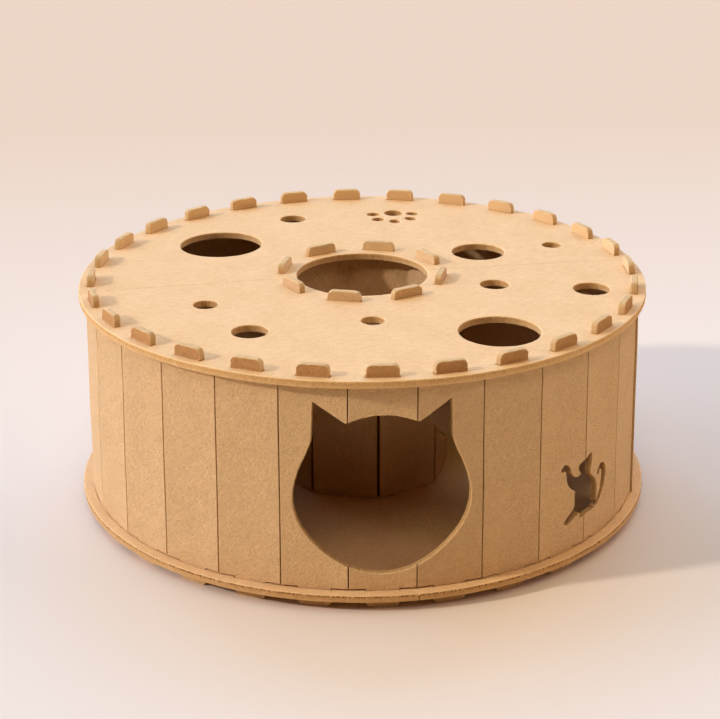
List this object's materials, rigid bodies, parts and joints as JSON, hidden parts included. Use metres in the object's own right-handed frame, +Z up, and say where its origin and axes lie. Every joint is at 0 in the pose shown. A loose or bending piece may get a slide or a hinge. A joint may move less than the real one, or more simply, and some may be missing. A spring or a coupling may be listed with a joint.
{
  "type": "foldable cat tunnel house",
  "caption": "Round felt-board tunnel house for a cat, with tabbed discs, a folded outer wall, an open middle well and a cat-head entrance.",
  "frame": {"origin": "on the floor, under the middle of the house", "axes": "+Z up from the floor to the top disc, the cat-head entrance faces -Y, +X is to the right of somebody looking in at it"},
  "size_m": [0.613, 0.613, 0.2495],
  "materials": {
    "felt_board": "matte needled felt in warm sand, with cut edges"
  },
  "bodies": {
    "root": {"top_disc": "felt_board", "bottom_disc": "felt_board", "outer_wall_front": "felt_board", "outer_wall_back": "felt_board", "inner_wall": "felt_board"}
  },
  "joints": []
}
